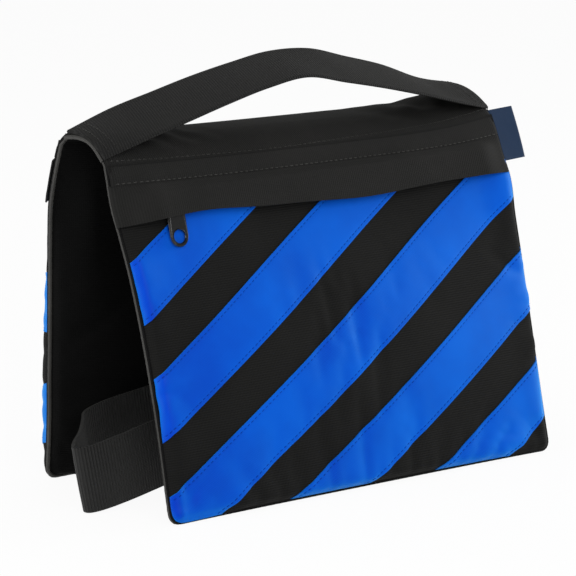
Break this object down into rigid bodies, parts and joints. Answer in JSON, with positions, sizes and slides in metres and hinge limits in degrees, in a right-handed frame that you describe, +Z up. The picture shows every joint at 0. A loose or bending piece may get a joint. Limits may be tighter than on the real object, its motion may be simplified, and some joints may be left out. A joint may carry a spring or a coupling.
{
  "type": "saddle ballast sandbag",
  "caption": "Saddle-shaped ballast sandbag that hangs over a stand leg: flapped, zipped pouches with slanted ribbon stripes, a webbing handle and a leg strap.",
  "frame": {"origin": "on the floor, midway between the two folds of the saddle and midway along the bag", "axes": "+X along the bag to the end with the side label, +Y from the pouch with the label to the other pouch, +Z up"},
  "size_m": [0.3082, 0.1305, 0.2299],
  "materials": {
    "black woven polyester": "matte, fine plain weave",
    "black lining cloth": "matte, fine plain weave",
    "black seam allowance": "matte",
    "blue satin ribbon": "satin, woven along the stripe",
    "black twill webbing": "matte, fine twill",
    "black ribbed webbing": "matte, ribs across",
    "navy label ribbon": "matte, bare",
    "black zip tape": "matte, woven",
    "black nylon coil": "semi-gloss",
    "black enamelled zinc": "satin enamel, brighter on its worn edges",
    "clear film": "translucent film",
    "sand": "loose grains"
  },
  "bodies": {
    "saddle": {"saddle_top": "black woven polyester", "saddle_lining": "black lining cloth", "saddle_left_seam_tape": "black seam allowance", "saddle_right_seam_tape": "black seam allowance", "handle_left_tab": "black twill webbing", "handle_right_tab": "black twill webbing", "handle_left_leg": "black twill webbing", "handle_right_leg": "black twill webbing"},
    "front_pouch": {"front_top_facing": "black woven polyester", "front_outer_panel": "black woven polyester", "front_inner_panel": "black lining cloth", "front_seam_tape": "black seam allowance", "front_stripe_1": "blue satin ribbon", "front_stripe_2": "blue satin ribbon", "front_stripe_3": "blue satin ribbon", "front_stripe_4": "blue satin ribbon", "front_stripe_5": "blue satin ribbon", "front_liner_bag": "clear film", "front_sand_fill": "sand", "front_zip_tape_upper": "black zip tape", "front_zip_tape_lower": "black zip tape", "front_zip_coils": "black nylon coil", "front_zip_stops": "black enamelled zinc", "front_yoke_band": "black woven polyester", "side_label": "navy label ribbon"},
    "rear_pouch": {"rear_top_facing": "black woven polyester", "rear_outer_panel": "black woven polyester", "rear_inner_panel": "black lining cloth", "rear_seam_tape": "black seam allowance", "rear_stripe_1": "blue satin ribbon", "rear_stripe_2": "blue satin ribbon", "rear_stripe_3": "blue satin ribbon", "rear_stripe_4": "blue satin ribbon", "rear_stripe_5": "blue satin ribbon", "rear_liner_bag": "clear film", "rear_sand_fill": "sand", "rear_zip_tape_upper": "black zip tape", "rear_zip_tape_lower": "black zip tape", "rear_zip_coils": "black nylon coil", "rear_zip_stops": "black enamelled zinc", "rear_yoke_band": "black woven polyester", "leg_strap_patch": "black ribbed webbing"},
    "front_flap_cloth": {"front_flap": "black woven polyester"},
    "rear_flap_cloth": {"rear_flap": "black woven polyester"},
    "front_slider": {"front_zip_slider": "black enamelled zinc"},
    "rear_slider": {"rear_zip_slider": "black enamelled zinc"},
    "front_pull": {"front_zip_pull": "black enamelled zinc"},
    "rear_pull": {"rear_zip_pull": "black enamelled zinc"},
    "handle": {"handle_grip": "black twill webbing"},
    "strap_loop": {"leg_strap": "black ribbed webbing"}
  },
  "joints": [
    {"name": "front_pouch_swing", "type": "hinge", "parent": "saddle", "child": "front_pouch", "pos_m": [0, -0.02223, 0.18872], "axis": [-1, 0, 0], "range_deg": [-4, 73]},
    {"name": "rear_pouch_swing", "type": "hinge", "parent": "saddle", "child": "rear_pouch", "pos_m": [0, 0.02223, 0.19571], "axis": [1, 0, 0], "range_deg": [-3, 83]},
    {"name": "front_flap_lift", "type": "hinge", "parent": "front_pouch", "child": "front_flap_cloth", "pos_m": [0, -0.02907, 0.17707], "axis": [-1, 0, 0], "range_deg": [0, 68]},
    {"name": "rear_flap_lift", "type": "hinge", "parent": "rear_pouch", "child": "rear_flap_cloth", "pos_m": [0, 0.02692, 0.18304], "axis": [1, 0, 0], "range_deg": [0, 68]},
    {"name": "front_zip_slide", "type": "slide", "parent": "front_pouch", "child": "front_slider", "axis": [1, 0, 0], "range_m": [-0.0033, 0.2033]},
    {"name": "rear_zip_slide", "type": "slide", "parent": "rear_pouch", "child": "rear_slider", "axis": [-1, 0, 0], "range_m": [-0.0033, 0.2033]},
    {"name": "front_pull_lift", "type": "hinge", "parent": "front_slider", "child": "front_pull", "pos_m": [-0.1, -0.03405, 0.16717], "axis": [-1, 0, 0], "range_deg": [0, 12]},
    {"name": "rear_pull_lift", "type": "hinge", "parent": "rear_slider", "child": "rear_pull", "pos_m": [0.1, 0.03009, 0.17242], "axis": [1, 0, 0], "range_deg": [0, 12]},
    {"name": "handle_swing", "type": "hinge", "parent": "saddle", "child": "handle", "pos_m": [0, -0.00106, 0.19893], "axis": [1, 0, 0], "range_deg": [-28, 28], "deforming": ["handle_left_leg", "handle_right_leg"]},
    {"name": "leg_strap_lift", "type": "hinge", "parent": "rear_pouch", "child": "strap_loop", "pos_m": [-0.03, 0.01136, 0.03898], "axis": [0, 1, 0], "range_deg": [0, 10]}
  ]
}
